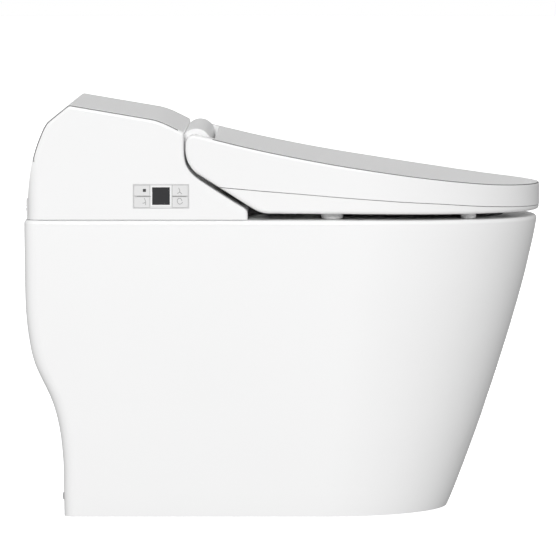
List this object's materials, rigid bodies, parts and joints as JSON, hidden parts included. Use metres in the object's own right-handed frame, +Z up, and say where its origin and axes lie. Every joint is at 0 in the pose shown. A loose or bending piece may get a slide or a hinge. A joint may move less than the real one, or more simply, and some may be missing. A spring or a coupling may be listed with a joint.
{
  "type": "smart toilet",
  "caption": "Floor-standing one-piece smart toilet with heated seat, soft-close lid, retractable wash nozzles, warm-air dryer, hidden water tank and a side control panel.",
  "frame": {"origin": "on the floor, under the middle of the bounding box", "axes": "+Z up; the front of the bowl points towards -Y and the rear housing is at +Y; the control panel is on the -X side"},
  "size_m": [0.38, 0.6897, 0.5549],
  "materials": {
    "white_ceramic": "gloss",
    "white_shell": "gloss",
    "white_seat": "gloss",
    "white_inner": "satin",
    "band_grey": "matte",
    "panel_grey": "satin",
    "bezel_white": "gloss",
    "display_black": "gloss",
    "key_white": "satin",
    "black_plastic": "satin",
    "grey_plastic": "matte",
    "clear_rubber": "matte",
    "black_rubber": "matte",
    "zinc_steel": "satin",
    "steel": "polished",
    "brass": "satin",
    "circuit_green": "satin",
    "film_foil": "satin",
    "carbon_filter": "matte",
    "heater_mica": "matte"
  },
  "bodies": {
    "root": {"ceramic_body": "white_ceramic", "outlet_seal": "black_rubber", "floor_brackets": "grey_plastic", "floor_bolts": "zinc_steel", "skirt_screws": "zinc_steel", "rear_housing": "white_shell", "rear_band": "band_grey", "chassis_plate": "grey_plastic", "hinge_barrel": "white_shell", "hinge_shaft": "steel", "seat_damper": "black_plastic", "lid_damper": "black_plastic", "nozzle_housing": "white_inner", "nozzle_motors": "zinc_steel", "drive_bracket": "grey_plastic", "dryer_duct": "white_inner", "dryer_heater": "heater_mica", "blower_case": "black_plastic", "blower_motor": "zinc_steel", "deodorizer_duct": "white_inner", "deodorizer_filter": "carbon_filter", "deodorizer_case": "black_plastic", "deodorizer_motor": "zinc_steel", "control_plate": "panel_grey", "display_frame": "bezel_white", "display_window": "display_black", "control_board": "circuit_green", "water_tank": "white_inner", "flush_pump": "grey_plastic", "flush_pipe": "grey_plastic", "service_tray": "grey_plastic", "water_inlet": "brass", "power_gland": "black_plastic", "inlet_valve": "black_plastic", "supply_hose": "grey_plastic", "chassis_screws": "zinc_steel", "cover_screws": "zinc_steel", "water_heater": "zinc_steel", "power_supply": "black_plastic", "main_board": "circuit_green", "board_posts": "zinc_steel"},
    "seat": {"seat_top": "white_seat", "seat_base": "white_inner", "seat_heater": "film_foil", "seat_bumpers_rear": "clear_rubber", "seat_bumpers_front": "clear_rubber"},
    "lid": {"lid_shell": "white_shell", "lid_inner_panel": "white_inner", "lid_bumpers": "clear_rubber"},
    "rear_nozzle": {"rear_nozzle": "steel"},
    "front_nozzle": {"front_nozzle": "steel"},
    "rear_wheel": {"rear_drive_wheel": "black_rubber"},
    "front_wheel": {"front_drive_wheel": "black_rubber"},
    "flap": {"dryer_flap": "white_inner"},
    "blower_fan": {"blower_wheel": "black_plastic"},
    "deodorizer_fan": {"deodorizer_wheel": "black_plastic"},
    "stop_key": {"key_stop": "key_white"},
    "rear_wash_key": {"key_rear_wash": "key_white"},
    "front_wash_key": {"key_front_wash": "key_white"},
    "dryer_key": {"key_dryer": "key_white"}
  },
  "joints": [
    {"name": "seat_hinge", "type": "hinge", "parent": "root", "child": "seat", "pos_m": [0, 0.119, 0.5015], "axis": [-1, 0, 0], "range_deg": [0, 97]},
    {"name": "lid_hinge", "type": "hinge", "parent": "seat", "child": "lid", "pos_m": [0, 0.119, 0.5015], "axis": [1, 0, 0], "range_deg": [-102, 0]},
    {"name": "rear_nozzle_slide", "type": "slide", "parent": "root", "child": "rear_nozzle", "axis": [0, -0.8829, -0.4695], "range_m": [0, 0.085]},
    {"name": "front_nozzle_slide", "type": "slide", "parent": "root", "child": "front_nozzle", "axis": [0, -0.8829, -0.4695], "range_m": [0, 0.085]},
    {"name": "rear_wheel_turn", "type": "hinge", "parent": "root", "child": "rear_wheel", "pos_m": [-0.009, 0.1491, 0.4668], "axis": [-1, 0, 0], "range_deg": [-1, 813]},
    {"name": "front_wheel_turn", "type": "hinge", "parent": "root", "child": "front_wheel", "pos_m": [0.009, 0.1491, 0.4668], "axis": [-1, 0, 0], "range_deg": [-1, 813]},
    {"name": "dryer_flap_hinge", "type": "hinge", "parent": "root", "child": "flap", "pos_m": [0.05, 0.04069, 0.40146], "axis": [-1, 0, 0], "range_deg": [0, 60]},
    {"name": "blower_spin", "type": "hinge", "parent": "root", "child": "blower_fan", "pos_m": [0.05, 0.17606, 0.49065], "axis": [1, 0, 0], "continuous": true},
    {"name": "deodorizer_spin", "type": "hinge", "parent": "root", "child": "deodorizer_fan", "pos_m": [-0.05, 0.16327, 0.46573], "axis": [1, 0, 0], "continuous": true},
    {"name": "stop_key_press", "type": "slide", "parent": "root", "child": "stop_key", "axis": [1, 0, 0], "range_m": [0, 0.0006], "stiffness_N_per_m": 2000},
    {"name": "rear_wash_key_press", "type": "slide", "parent": "root", "child": "rear_wash_key", "axis": [1, 0, 0], "range_m": [0, 0.0006], "stiffness_N_per_m": 2000},
    {"name": "front_wash_key_press", "type": "slide", "parent": "root", "child": "front_wash_key", "axis": [1, 0, 0], "range_m": [0, 0.0006], "stiffness_N_per_m": 2000},
    {"name": "dryer_key_press", "type": "slide", "parent": "root", "child": "dryer_key", "axis": [1, 0, 0], "range_m": [0, 0.0006], "stiffness_N_per_m": 2000}
  ],
  "couplings": [
    {"joint": "rear_wheel_turn", "follows": "rear_nozzle_slide", "rad_per_m": 166.67},
    {"joint": "front_wheel_turn", "follows": "front_nozzle_slide", "rad_per_m": 166.67}
  ]
}
